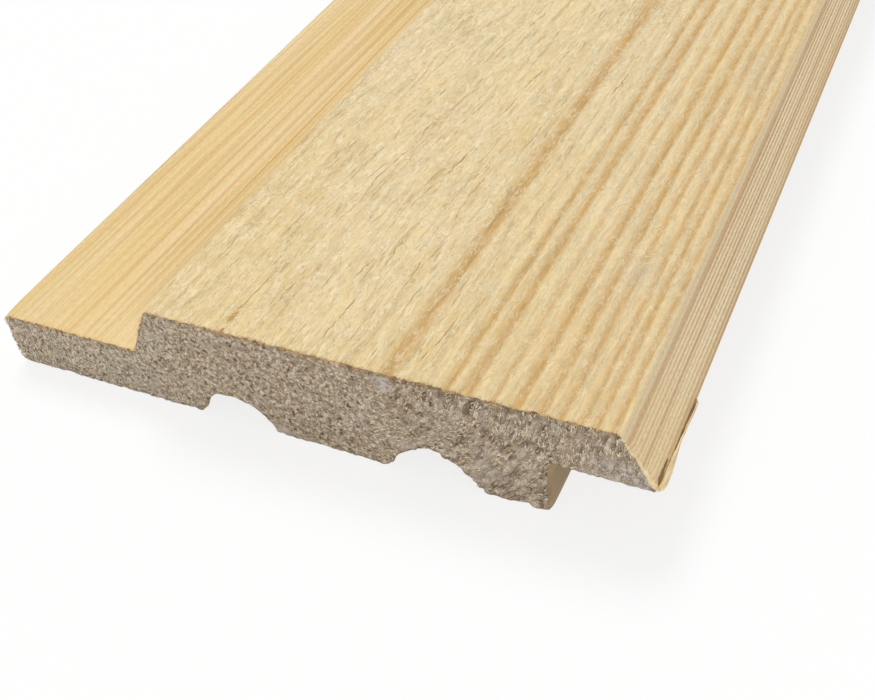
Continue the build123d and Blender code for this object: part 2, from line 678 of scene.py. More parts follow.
@dataclass
class BoardSkin:
    """The whole board as one closed surface with sawn relief and a broken outline."""

    materials: list[bpy.types.Material]
    section: BoardSection
    relief: Relief

    def __post_init__(self) -> None:
        """Numbers the end's grid and takes the outline from its border.

        The ring of numbers runs along the back, up the nose, back over the top and
        down the tip.
        """
        grid = self.section.end_grid()
        self.corner = np.arange(grid.size // 2).reshape(grid.shape[:2])
        back, top = self.corner[0], self.corner[-1]
        nose, tip = self.corner[1:-1, -1], self.corner[1:-1, 0]
        self.flat = grid.reshape(-1, 2)
        self.ring = np.concatenate([back, nose, top[::-1], tip[::-1]])
        self.outline = self.flat[self.ring]
        self.on_back = np.arange(len(self.ring)) < len(back)
        self.place = self.across()
        self.zones = self.wall_zones()

    def stations(self) -> np.ndarray:
        """Distances from the near end: close together in front, wide further back."""
        near = np.array([0.0, 0.2, 0.5, 0.9, 1.4, 2.1, 3.0, 4.1, 5.4, 7.0])
        dense = np.arange(8.6, 138.0, 1.72)
        rest = np.array([150, 175, 215, 270, 350, 460, 600, 780, 960, 1140, 1320, 1480, 1620])
        far = np.array([1730, 1780, 1795, 1799, 1799.8, 1800.0])
        return np.concatenate([near, dense, rest, far])

    def across(self) -> np.ndarray:
        """Running place round the outline that patterns follow across the grain.

        On the top it is X itself up to the bevel and then grows with the distance down
        the bevel. On the tip and the back it falls away from the tongue's edge.
        """
        x, z = self.outline.T
        bevel_top, edge = self.section.bevel_top, -self.section.half_width
        down = np.hypot(x - bevel_top, z - self.section.thickness)
        top = np.where(x > bevel_top, bevel_top + down, x)
        tip = x - np.clip(self.section.tongue_top - z, 0, None)
        place = np.where(x < edge + 0.02, tip, top)
        under = edge - self.section.tongue_top
        place[self.on_back] = under - along(self.outline[self.on_back])
        return place

    def outward(self) -> np.ndarray:
        """Unit normals of the outline: its heading turned a quarter clockwise."""
        heading = np.roll(self.outline, -1, 0) - np.roll(self.outline, 1, 0)
        heading /= np.linalg.norm(heading, axis=1, keepdims=True) + 1e-9
        return np.stack([heading[:, 1], -heading[:, 0]], 1)

    def wall_zones(self) -> np.ndarray:
        """Kind of surface on each strip that runs along the board."""
        section, back = self.section, self.on_back
        x, z = ((self.outline + np.roll(self.outline, -1, 0)) / 2).T
        on_bevel = x >= section.bevel_top + 0.1
        face = ~back & ~on_bevel & (z > section.thickness - 0.3)
        zones = np.full(len(x), int(Zone.PLANED))
        zones[face & (x > section.shoulder_top - 0.05)] = Zone.SAWN_FACE
        zones[~back & on_bevel & (z > section.nose_top - 0.3)] = Zone.REEDED_BEVEL
        zones[back] = np.where(z[back] < 0.05, int(Zone.BACK), int(Zone.MACHINED))
        return zones

    def long_surface(self, t: np.ndarray, set_back: np.ndarray) -> np.ndarray:
        """Points of the surface that runs along the board, ring by ring.

        A point is the outline moved along its normal by the relief, and set in from
        the nearer end by the end's depth, which dies away with distance.

        Args:
            t: Distances of the rings from the near end.
            set_back: Depth of the end at each point of the outline.

        Returns:
            Points, shape (rings, points, 3).
        """
        section, relief = self.section, self.relief
        x, z = self.outline.T
        y = (t - HALF_LENGTH)[:, None]
        near = np.minimum(t, 2 * HALF_LENGTH - t)[:, None]
        sawn = (self.zones == Zone.SAWN_FACE) & (np.roll(self.zones, 1) == Zone.SAWN_FACE)
        lift = relief.face(x[None], y) * sawn
        ragged = np.where(self.on_back, 0.35, 1.0)
        lift = lift - ragged * relief.arris(self.place[None], near)
        groove = (self.zones == Zone.MACHINED) & (z < 7) & (x < 40)
        lift = lift + relief.broken_groove(self.place, x) * groove * np.exp(-near / 1.6)
        wall = (np.abs(x - section.rabbet_wall) < 0.7) & (z < section.lip_underside - 0.8)
        stand = relief.wall(near) * wall
        inward = np.where(t < HALF_LENGTH, 1.0, -1.0)[:, None] * np.exp(-near / 1.5)
        out_x, out_z = self.outward().T
        return spots(x + out_x * (lift + stand), y + inward * set_back, z + out_z * lift)

    def build(self) -> bpy.types.Object:
        """Builds the closed surface and stores its grain.

        The strips of the long surface are quads between neighbouring rings. Each end is
        the end grid, whose border shares the first or the last ring's points.

        Returns:
            The board's mesh object.
        """
        flat, ring, t = self.flat, self.ring, self.stations()
        count, base = len(ring), len(t) * len(ring)
        set_back = self.relief.end(flat[:, 0], flat[:, 1])
        inner = np.setdiff1d(np.arange(len(flat)), ring)
        near_cap = spots(flat[inner, 0], set_back[inner] - HALF_LENGTH, flat[inner, 1])
        long = self.long_surface(t, set_back[ring]).reshape(-1, 3)
        points = np.concatenate([long, near_cap, near_cap * [1, -1, 1]])

        strip, step = np.arange(count), np.arange(len(t) - 1)[:, None] * count
        a, b = step + strip, step + (strip + 1) % count
        walls = np.stack([a, b, b + count, a + count], -1).reshape(-1, 4)
        low, high = self.corner[:-1], self.corner[1:]
        quads = np.stack([low[:, :-1], low[:, 1:], high[:, 1:], high[:, :-1]], -1).reshape(-1, 4)
        number = np.zeros(len(flat), np.int64)
        number[ring], number[inner] = strip, base + np.arange(len(inner))
        near_faces = number[quads]
        number[ring] += base - count
        number[inner] += len(inner)
        faces = np.concatenate([walls, near_faces, number[quads][:, ::-1]])

        x, z = flat[quads].mean(axis=1).T
        torn = self.relief.nose_share(x, z) > 0
        cap = np.where(torn, int(Zone.TORN_NOSE), int(Zone.END_GRAIN))
        slots = np.concatenate([np.tile(self.zones, len(t) - 1), cap, cap])
        piece = put_mesh("board_skin", points, faces, self.materials, slots)
        self.store_grain(piece, points, np.tile(self.place, len(t)))
        return piece

    def store_grain(
        self, piece: bpy.types.Object, points: np.ndarray, place: np.ndarray
    ) -> None:
        """Stores the grain that the materials read.

        grain holds the place across the fibres, the place along them and the height.
        late_wood holds the share of latewood, and rim is 1 at the outline of an end
        and 0 inside it.

        Args:
            piece: The board's mesh object.
            points: Its points in millimetres, those of the long surface first.
            place: Running place across of the long surface's points.
        """
        rings = self.relief.rings
        x, y, z = points.T
        on_top, rim = z > self.section.thickness - 1.0, np.arange(len(x)) < len(place)
        across = np.concatenate([place, x[~rim]])
        drift = rings.drift(y) + rings.lean(x, y) * on_top
        put_attribute(piece, "grain", spots(across - drift, y + HALF_LENGTH, z))
        put_attribute(piece, "late_wood", rings.late(x, y, z))
        put_attribute(piece, "rim", rim.astype(float))
        put_attribute(piece, "knot", rings.knot(x, y) * on_top)
        put_attribute(piece, "smudge", rings.smudge(x, y) * on_top)


# Materials


class Wire:
    """One output of a node, with the sums and maps that the finishes are wired from."""

    def __init__(self, bench: "NodeBench", socket: Socket) -> None:
        """Holds a socket and the bench that it belongs to."""
        self.bench, self.socket = bench, socket

    def maths(self, kind: str, other: "Wire | float" = 0.0) -> "Wire":
        """One Math node of that kind on this wire and another, or a number."""
        return self.bench.node("ShaderNodeMath", {0: self, 1: other}, operation=kind)

    def __add__(self, other: "Wire | float") -> "Wire":
        """Sum with a wire or a number."""
        return self.maths("ADD", other)

    def __sub__(self, other: "Wire | float") -> "Wire":
        """This wire less a wire or a number."""
        return self.maths("SUBTRACT", other)

    def __rsub__(self, other: float) -> "Wire":
        """A number less this wire."""
        return self.bench.node("ShaderNodeMath", {0: other, 1: self}, operation="SUBTRACT")

    def __mul__(self, other: "Wire | float") -> "Wire":
        """Product with a wire or a number."""
        return self.maths("MULTIPLY", other)

    def __truediv__(self, other: "Wire | float") -> "Wire":
        """This wire over a wire or a number."""
        return self.maths("DIVIDE", other)

    def __pow__(self, power: float) -> "Wire":
        """This wire raised to a power."""
        return self.maths("POWER", power)

    def most(self, other: "Wire | float") -> "Wire":
        """The greater of this wire and another, or a number."""
        return self.maths("MAXIMUM", other)

    def vector(self, kind: str, other: Triple) -> "Wire":
        """One Vector Math node of that kind on this wire and three numbers."""
        return self.bench.node("ShaderNodeVectorMath", {0: self, 1: other}, operation=kind)

    def split(self) -> tuple["Wire", ...]:
        """The three parts of a vector."""
        parts = self.bench.node("ShaderNodeSeparateXYZ", {0: self}).socket.node.outputs
        return tuple(Wire(self.bench, part) for part in parts)

    def noise(
        self,
        stretch: Triple,
        detail: float = 2.0,
        roughness: float = 0.5,
        distortion: float = 0.0,
        shift: float = 0.0,
    ) -> "Wire":
        """Noise at this place, which is a vector in millimetres.

        Args:
            stretch: Cells per millimetre along the three axes.
            detail: Finer layers added.
            roughness: Strength of the finer layers.
            distortion: How far the noise folds itself.
            shift: Moves the pattern, to keep one use apart from the others.

        Returns:
            A number from 0 to 1, most often near 0.5.
        """
        place = self.vector("MULTIPLY", stretch).vector("ADD", (shift, shift * 1.7, shift))
        feeds = {"Vector": place, "Scale": 1.0, "Detail": detail, "Roughness": roughness}
        feeds["Distortion"] = distortion
        return self.bench.node("ShaderNodeTexNoise", feeds, "Fac")

    def span(
        self, low: float, high: float, to_low: float = 0.0, to_high: float = 1.0
    ) -> "Wire":
        """Maps low to to_low and high to to_high by a smooth step, held beyond them."""
        feeds = {"Value": self, "From Min": low, "From Max": high}
        feeds |= {"To Min": to_low, "To Max": to_high}
        return self.bench.node("ShaderNodeMapRange", feeds, interpolation_type="SMOOTHSTEP")

    def mix(self, a: "Wire | Colour", b: "Wire | Colour") -> "Wire":
        """Goes from one colour to another by this wire, a share from 0 to 1."""
        kind = {"data_type": "RGBA", "blend_type": "MIX", "clamp_factor": True}
        return self.bench.node("ShaderNodeMix", {0: self, 6: a, 7: b}, 2, **kind)

    def shade(self, value: "Wire") -> "Wire":
        """This colour with all its parts multiplied by one number."""
        feeds = {0: self, "Scale": value}
        return self.bench.node("ShaderNodeVectorMath", feeds, operation="SCALE")

    def ripple(self, pitch: float) -> "Wire":
        """A sine of this wire, from 0 to 1, that repeats after each pitch."""
        return (self * (2 * math.pi / pitch)).maths("SINE") * 0.5 + 0.5

    def line(self, at: float, half_width: float) -> "Wire":
        """Soft line: 1 where this wire is at a value, 0 beyond the half width from it."""
        return (self - at).maths("ABSOLUTE").span(0.0, half_width, 1.0, 0.0)

    def crossing(self, half_width: float) -> "Wire":
        """Thin lines where a noise crosses its middle value: 1 on them, 0 beside them."""
        away = (self - 0.5).maths("ABSOLUTE")
        return away.span(half_width * 0.3, half_width, 1.0, 0.0)

    def bump(self, depth: float) -> "Wire":
        """Bump of this height from 0 to 1, which stands for a depth in millimetres."""
        feeds = {"Strength": 1.0, "Distance": depth * MM, "Height": self}
        return self.bench.node("ShaderNodeBump", feeds)


class NodeBench:
    """The node tree of one new material or world, while it is wired."""

    def __init__(self, name: str, kind: str = "materials") -> None:
        """Starts an empty material or world of that name."""
        self.owner = getattr(bpy.data, kind).new(name)
        self.owner.use_nodes = True
        self.tree = self.owner.node_tree
        self.tree.nodes.clear()

    def feed(self, socket: Socket, value: "Wire | float | Triple") -> None:
        """Links a socket to a wire, or writes a plain value on it."""
        if isinstance(value, Wire):
            self.tree.links.new(value.socket, socket)
        elif isinstance(value, tuple) and socket.type == "RGBA":
            socket.default_value = (*value, 1.0)
        else:
            socket.default_value = value

    def node(self, kind: str, feeds: dict, out: int | str = 0, **settings: object) -> Wire:
        """Adds one node.

        Args:
            kind: Its type.
            feeds: Wires and plain values by the number or name of the socket.
            out: Number or name of the output that is used.
            settings: The node's own settings.

        Returns:
            The chosen output.
        """
        node = self.tree.nodes.new(kind)
        for name, value in settings.items():
            setattr(node, name, value)
        for key, value in feeds.items():
            self.feed(node.inputs[key], value)
        return Wire(self, node.outputs[out])

    def millimetres(self) -> Wire:
        """Object coordinates in millimetres."""
        place = self.node("ShaderNodeTexCoord", {}, "Object")
        return place.vector("MULTIPLY", (1000.0, 1000.0, 1000.0))

    def stored(self, name: str, out: str = "Fac") -> Wire:
        """One of the numbers stored on the mesh, or a vector with Vector as its output."""
        return self.node("ShaderNodeAttribute", {}, out, attribute_name=name)

    def grain(self) -> tuple[Wire, Wire, Wire, Wire]:
        """The stored grain, and its parts: across the fibres, along them, and up."""
        grain = self.stored("grain", "Vector")
        return grain, *grain.split()

    def join(self, x: Wire, y: Wire) -> Wire:
        """A vector from two numbers, with nothing as its third part."""
        return self.node("ShaderNodeCombineXYZ", {0: x, 1: y, 2: 0.0})

    def seen(self, *rays: str) -> Wire:
        """1 where the light path is one of these kinds of ray, 0 elsewhere."""
        first, *others = [self.node("ShaderNodeLightPath", {}, f"Is {ray} Ray") for ray in rays]
        for other in others:
            first = first.most(other)
        return first

    def show(self, surface: Wire) -> "bpy.types.Material | bpy.types.World":
        """Puts a shader on the output and hands back the finished material or world."""
        output = self.tree.nodes.new(f"ShaderNodeOutput{type(self.owner).__name__}")
        self.feed(output.inputs["Surface"], surface)
        return self.owner

    def close(
        self, colour: Wire, roughness: float, normal: Wire, gloss: float
    ) -> bpy.types.Material:
        """Feeds one plain shader and hands back the finished material."""
        feeds = {"Base Color": colour, "Roughness": roughness, "Normal": normal}
        feeds["Specular IOR Level"] = gloss
        return self.show(self.node("ShaderNodeBsdfPrincipled", feeds))


def frayed_border(across: Wire, length: Wire) -> Wire:
    """Frayed strip beside a sawn end: 1 at the end, and 0 beyond 0.2 to 1.4 mm.

    How far it reaches is noise that is fine across the grain, in loose groups.
    """
    place = across.bench.join(across, length)
    fine = place.noise((1.7, 0.30, 0.0), 3, 0.65, 0.0, 12.0).span(0.36, 0.66)
    group = place.noise((0.33, 0.0, 0.0), 2, 0.5, 0.0, 27.0).span(0.38, 0.62, 0.35, 1.0)
    return (length / (fine * group * 1.2 + 0.2)).span(0.25, 1.0, 1.0, 0.0)


@dataclass(frozen=True)
class SawnFaceFinish:
    """Fine-sawn face: pale and woolly, with tan latewood streaks and fine dark lines."""

    pale: Colour = (0.755, 0.622, 0.384)
    honey: Colour = (0.760, 0.600, 0.325)
    tan: Colour = (0.720, 0.552, 0.310)
    wool: Colour = (0.930, 0.820, 0.580)
    crevice: Colour = (0.620, 0.455, 0.222)
    streak: Colour = (0.560, 0.340, 0.120)
    check: Colour = (0.450, 0.300, 0.115)
    grey: Colour = (0.540, 0.470, 0.350)
    burnt: Colour = (0.500, 0.320, 0.140)

    def ground(self, grain: Wire, across: Wire, length: Wire) -> Wire:
        """Ground colour: pale and honey patches, more tan towards the right."""
        broad = grain.noise((0.045, 0.016, 0.0))
        mottle = grain.noise((0.32, 0.14, 0.0), 3, 0.6, 0.4, 2.3)
        share = mottle * 0.5 + broad + length.span(0.0, 45.0, 0.16, 0.0)
        colour = share.span(0.60, 0.92).mix(self.pale, self.honey)
        return across.span(16.0, 48.0, 0.0, 0.42).mix(colour, self.tan)

    def curls(self, grain: Wire) -> Wire:
        """Fine curled fibres: crossings of two folded noises, kept in loose patches."""
        one = grain.noise((1.15, 0.30, 0.0), 2, 0.5, 1.0, 31.0).crossing(0.055)
        two = grain.noise((0.90, 0.42, 0.0), 2, 0.5, 1.5, 43.0).crossing(0.045)
        gate = grain.noise((0.55, 0.24, 0.0), 2, 0.5, 0.0, 57.0)
        return one.most(two) * gate.span(0.40, 0.58)

    def strands(self, grain: Wire, across: Wire) -> Wire:
        """Fine broken lines along the grain, few of them on the right."""
        wavy = grain.noise((0.62, 0.036, 0.0), 4, 0.60, 0.25, 11.3)
        where = grain.noise((0.40, 0.08, 0.0), 3, 0.6, 0.0, 19.1)
        line = wavy.crossing(0.020) * where.span(0.42, 0.60)
        return line * across.span(22.0, 34.0, 1.0, 0.3)

    def build(self) -> bpy.types.Material:
        """Wires the finish: ground, streaks, wool, fine lines and their relief."""
        bench = NodeBench("sawn_face")
        grain, across, length, _ = bench.grain()
        fibre = grain.noise((2.1, 0.14, 0.0), 3, 0.60, 0.2)
        fuzz = grain.noise((1.9, 0.60, 0.0), 4, 0.70, 1.0, 3.1)
        bands = grain.noise((0.80, 0.060, 0.0), 2, 0.6, 0.4, 51.0)
        broken = grain.noise((1.6, 0.55, 0.0), 3, 0.7, 0.3, 7.7)
        strands, curls = self.strands(grain, across), self.curls(grain)
        left = across.span(6.0, 34.0, 1.0, 0.5)
        # Painted shade: on the left of the face, the low parts of the fuzz noise, which the bump
        # also sinks, take the darker crevice colour.
        low = fuzz.span(0.34, 0.52, 0.48, 0.0) * left
        colour = low.mix(self.ground(grain, across, length), self.crevice)
        late = bench.stored("late_wood") * broken.span(0.30, 0.62, 0.72, 1.0)
        colour = late.mix(colour, self.streak)
        colour = (bench.stored("knot") * fuzz.span(0.35, 0.55)).mix(colour, self.streak)
        colour = (bench.stored("smudge") * 0.45).mix(colour, self.grey)
        # Tone differs at random, and partly it is painted relief shading: the fibre and fuzz
        # noises that raise the bump also lighten the colour where they are high.
        tone = fibre.span(0.30, 0.70, -0.07, 0.06) + 1.0 + fuzz.span(0.3, 0.7, -0.05, 0.07)
        colour = colour.shade(tone + bands.span(0.34, 0.66, -0.06, 0.05))
        colour = (strands * 0.62).mix(colour, self.check)
        colour = (curls * left * 0.55).mix(colour, self.wool)
        colour = (frayed_border(across, length) * 0.60).mix(colour, self.burnt)
        height = fibre * 0.4 + fuzz + curls * 0.35 - strands * 0.4
        return bench.close(colour, 0.86, height.bump(0.09), 0.22)


@dataclass(frozen=True)
class PlanedFinish:
    """Planed softwood: smooth and golden, with fine straight lines.

    Each entry of marks is a place across the grain, a half width and a strength.
    """

    name: str
    pale: Colour = (0.815, 0.635, 0.345)
    golden: Colour = (0.790, 0.590, 0.275)
    line: Colour = (0.520, 0.325, 0.118)
    mark: Colour = (0.640, 0.350, 0.105)
    pitch: float = 1.12
    marks: tuple[Triple, ...] = ()

    def build(self) -> bpy.types.Material:
        """Wires the finish: slow tone, fine ring lines, stronger marks and a low sheen."""
        bench = NodeBench(self.name)
        grain, across, length, _ = bench.grain()
        broad = grain.noise((0.16, 0.010, 0.0))
        lines = grain.noise((1.0, 0.013, 0.0), 3, 0.62)
        pores = grain.noise((3.4, 0.75, 0.0), 3, 0.68)
        wander = grain.noise((0.16, 0.008, 0.0), shift=3.0)
        ring = (across + wander * 6.0).ripple(self.pitch).span(0.25, 1.0)
        ring = ring * lines.span(0.40, 0.60, 0.10, 0.42)
        ring = ring.most(lines.span(0.50, 0.70, 0.0, 0.48))
        ring = ring.most(bench.stored("late_wood") * 0.35) * length.span(0.0, 40.0, 0.6, 1.0)
        colour = ring.mix(broad.span(0.38, 0.62).mix(self.pale, self.golden), self.line)
        far = length.span(4.0, 50.0, 0.55, 1.0)
        for at, half_width, strength in self.marks:
            colour = (across.line(at, half_width) * far * strength).mix(colour, self.mark)
        colour = colour.shade(pores.span(0.3, 0.7, 0.90, 1.07))
        colour = (frayed_border(across, length) * 0.50).mix(colour, self.mark)
        return bench.close(colour, 0.62, (lines + pores).bump(0.07), 0.3)


@dataclass(frozen=True)
class ReededBevelFinish:
    """Moulded bevel: fine soft reeds, with painted shade as brown lines in the troughs between
    them.

    Each entry of lines is a distance down the bevel, a half width and a strength.
    """

    pale: Colour = (0.795, 0.658, 0.436)
    brown: Colour = (0.420, 0.275, 0.140)
    reddish: Colour = (0.440, 0.255, 0.110)
    smooth: Colour = (0.740, 0.570, 0.325)
    strip: Colour = (0.660, 0.532, 0.332)
    top: float = 21.0
    run_over_fall: float = 1.1685
    pitch: float = 0.74
    lines: tuple[Triple, ...] = (
        (0.70, 0.34, 0.20),
        (2.00, 0.95, 0.74),
        (3.05, 0.40, 0.40),
        (4.55, 0.45, 0.34),
        (6.05, 0.56, 0.66),
        (6.70, 0.34, 0.34),
        (8.80, 0.35, 0.22),
        (9.75, 0.70, 0.55),
        (10.60, 0.75, 0.80),
    )

    def build(self) -> bpy.types.Material:
        """Wires the finish: reeds down the bevel, darker lines, and their relief."""
        bench = NodeBench("reeded_bevel")
        grain, _, length, up = bench.grain()
        down = ((self.top - up) * self.run_over_fall).most(0.0)
        reed = (down + grain.noise((0.3, 0.010, 0.0)) * 0.9).ripple(self.pitch)
        beads = grain.noise((2.4, 1.5, 0.0), 3, 0.7, 0.5, 2.0)
        uneven = grain.noise((0.9, 0.012, 0.0), 2, 0.6, 0.0, 5.0).span(0.25, 0.7, 0.55, 1.0)
        broad = grain.noise((0.2, 0.02, 0.0), 3, 0.5, 0.0, 9.0)
        pores = grain.noise((3.2, 1.1, 0.0), 3, 0.7)
        plain = down.span(1.1, 2.0, 0.85, 0.0)
        reeded = 1.0 - plain
        line = reed + beads.span(0.3, 0.7, -0.30, 0.30)
        # Painted shade: the brown follows the low part of the reed ripple, in the troughs that
        # the bump sinks.
        share = line.span(0.05, 0.75, 1.0, 0.0) * uneven * length.span(2.0, 50.0, 0.34, 0.88)
        colour = broad.span(0.4, 0.6, 0.0, 0.4).mix(self.pale, self.smooth)
        colour = length.span(0.0, 30.0, 0.7, 0.0).mix(colour, self.smooth)
        colour = (share * reeded).mix(colour, self.brown)
        # Painted shade: the plain strip at the top of the bevel, next to the face, takes a
        # darker grey-brown.
        colour = plain.mix(colour, self.strip)
        soft = beads.span(0.3, 0.7, 0.7, 1.0)
        for at, half_width, strength in self.lines:
            colour = (down.line(at, half_width) * soft * strength).mix(colour, self.reddish)
        colour = colour.shade(pores.span(0.3, 0.7, 0.90, 1.10))
        height = reed * reeded * length.span(2.0, 55.0, 0.25, 0.6) + beads * 0.9
        return bench.close(colour, 0.74, height.bump(0.07), 0.25)


@dataclass(frozen=True)
class EndGrainFinish:
    """Rough sawn end: grey-brown, speckled, with torn bands along the rings, painted shade in
    its hollows and along its outline, and painted highlights on its raised grains.
    """

    pit: Colour = (0.165, 0.110, 0.068)
    body: Colour = (0.510, 0.405, 0.285)
    tip: Colour = (0.980, 0.865, 0.690)
    late: Colour = (0.455, 0.385, 0.320)
    bruise: Colour = (0.495, 0.435, 0.385)
    warm: Colour = (0.570, 0.425, 0.275)
    rim: Colour = (0.370, 0.255, 0.145)
    bruise_at: tuple[float, float] = (18.2, 18.6)
    pith_x: float = 7.0
    pith_z: float = 28.0

    def ringed(self, x: Wire, z: Wire) -> Wire:
        """Place by the rings: distance from the pith, and the way round at 30 mm."""
        side, up = x - self.pith_x, self.pith_z - z
        return x.bench.join((side**2 + up**2).maths("SQRT"), side.maths("ARCTAN2", up) * 30.0)

    def bruised(self, place: Wire, x: Wire, z: Wire) -> Wire:
        """Share of bruising: faint broad patches, one under the face and one on the lip."""
        patch = place.noise((0.13, 0.0, 0.18), 3, 0.55, 0.4, 14.0).span(0.56, 0.68) * 0.40
        edge = place.noise((0.9, 0.0, 0.9), 2, 0.6, 0.3, 33.0)
        side, up = x - self.bruise_at[0], z - self.bruise_at[1]
        apart = side**2 + up**2 + edge.span(0.3, 0.7, -1.6, 1.6)
        lip = x.span(48.5, 51.5) * z.span(14.0, 17.0, 1.0, 0.0)
        lip = lip * edge.span(0.36, 0.56, 0.30, 0.80)
        return patch.most(apart.span(1.2, 5.2, 0.92, 0.0)).most(lip)

    def torn(self, place: Wire, ringed: Wire, x: Wire, z: Wire) -> Wire:
        """Share of painted shade in torn wood: thin furrows and holes on the right, and pits by
        the face.
        """
        furrow = ringed.noise((0.95, 0.20, 0.0), 2, 0.5, 0.4, 8.0).crossing(0.055)
        gate = ringed.noise((0.45, 0.28, 0.0), 2, 0.5, 0.0, 15.0)
        furrow = furrow * x.span(12.0, 28.0) * gate.span(0.42, 0.60, 0.0, 0.7)
        holes = ringed.noise((0.62, 0.24, 0.0), 2, 0.5, 0.5, 71.0).span(0.55, 0.67)
        holes = holes * x.span(15.0, 21.0) * x.span(44.0, 50.0, 1.0, 0.25)
        under = place.noise((0.62, 0.0, 0.75), 2, 0.5, 0.4, 83.0).span(0.50, 0.60)
        under = under * z.span(19.2, 20.3) * x.span(8.0, 16.0)
        return furrow.most(holes.most(under))

    def build(self) -> bpy.types.Material:
        """Wires the finish: flecks along the rings, coarse grains, furrows and bruises."""
        bench = NodeBench("end_grain")
        place = bench.millimetres()
        x, _, z = place.split()
        ringed = self.ringed(x, z)
        right, tongue = x.span(12.0, 28.0), x.span(-34.0, -14.0, 1.0, 0.25)
        torn, patch = self.torn(place, ringed, x, z), self.bruised(place, x, z)
        fleck = ringed.noise((1.15, 0.36, 0.0), 3, 0.62, 0.5)
        grainy = place.noise((1.45, 0.0, 1.45), 3, 0.62, 0.9, 40.0)
        coarse = place.noise((1.15, 0.0, 1.15), 3, 0.62, 0.7, 4.0)
        net = place.noise((0.95, 0.0, 0.95), 2, 0.5, 1.4, 61.0).crossing(0.06) * tongue
        hue = place.noise((0.55, 0.0, 0.55), 3, 0.65, 0.3, 24.0)
        height = fleck * right + grainy * (1.0 - right) + coarse + net * 0.36
        height = height + (grainy - 0.5) * 0.7 * tongue
        body = hue.span(0.42, 0.62).mix(self.body, self.warm)
        # Painted shade: where the height noise is low the colour falls to the near-black pit
        # colour.
        colour = height.span(0.74, 1.00).mix(self.pit, body)
        # Painted highlight: where the height noise is highest the colour rises to the near-white
        # tip colour.
        colour = height.span(1.02, 1.27).mix(colour, self.tip)
        colour = colour.shade(x.span(-32.0, -8.0, 1.0, 0.93))
        late = bench.stored("late_wood") * (right * 0.55)
        colour = late.mix(colour, self.late)
        # Painted shade: the torn furrows and holes, and the pits under the face's edge, take the
        # near-black pit colour.
        colour = (torn * 0.74).mix(colour, self.pit)
        colour = patch.mix(colour, self.bruise)
        # Painted shadow: a band just inside the end's outline darkens to the rim colour, as
        # under fibres that overhang the edge.
        colour = (bench.stored("rim").span(0.1, 1.0) * 0.7).mix(colour, self.rim)
        height = (height - torn * 0.4) * (1.0 - patch.most(late))
        return bench.close(colour, 0.93, height.bump(0.85), 0.15)


@dataclass(frozen=True)
class TornWoodFinish:
    """Fresh long-grain tear: clean yellow wood with fine fibres."""

    name: str
    pale: Colour = (0.810, 0.665, 0.400)
    deep: Colour = (0.640, 0.470, 0.250)

    def build(self) -> bpy.types.Material:
        """Wires the finish: fibres drawn out from the end, in two yellows."""
        bench = NodeBench(self.name)
        fibre = bench.millimetres().noise((2.6, 0.3, 1.2), 3, 0.65, 0.3)
        colour = fibre.span(0.35, 0.68).mix(self.pale, self.deep)
        return bench.close(colour, 0.75, fibre.bump(0.25), 0.25)


@dataclass(frozen=True)
class FibreFinish:
    """Loose wood fibre: one tone that varies from thread to thread."""

    name: str
    light: Colour
    deep: Colour

    def build(self) -> bpy.types.Material:
        """Wires the finish: a slow change of tone from thread to thread."""
        bench = NodeBench(self.name)
        place = bench.millimetres()
        colour = place.noise((0.9, 0.4, 0.9)).span(0.35, 0.65).mix(self.light, self.deep)
        return bench.close(colour, 0.8, place.noise((6.0, 2.0, 6.0)).bump(0.03), 0.2)


@dataclass(frozen=True)
class PaleFloorFinish:
    """White studio floor that the camera sees nearly white, with the board's shadow."""

    albedo: float = 0.92
    shadow_share: float = 0.22

    def build(self) -> bpy.types.Material:
        """Wires a diffuse floor, lifted to white for the camera alone."""
        bench = NodeBench("pale_floor")
        floor = bench.node("ShaderNodeBsdfDiffuse", {"Color": (self.albedo,) * 3})
        white = bench.node("ShaderNodeEmission", {"Strength": 1.0})
        share = bench.seen("Camera", "Glossy", "Transmission") * (1.0 - self.shadow_share)
        return bench.show(bench.node("ShaderNodeMixShader", {0: share, 1: floor, 2: white}))


# Loose fibres, checks and the torn nose


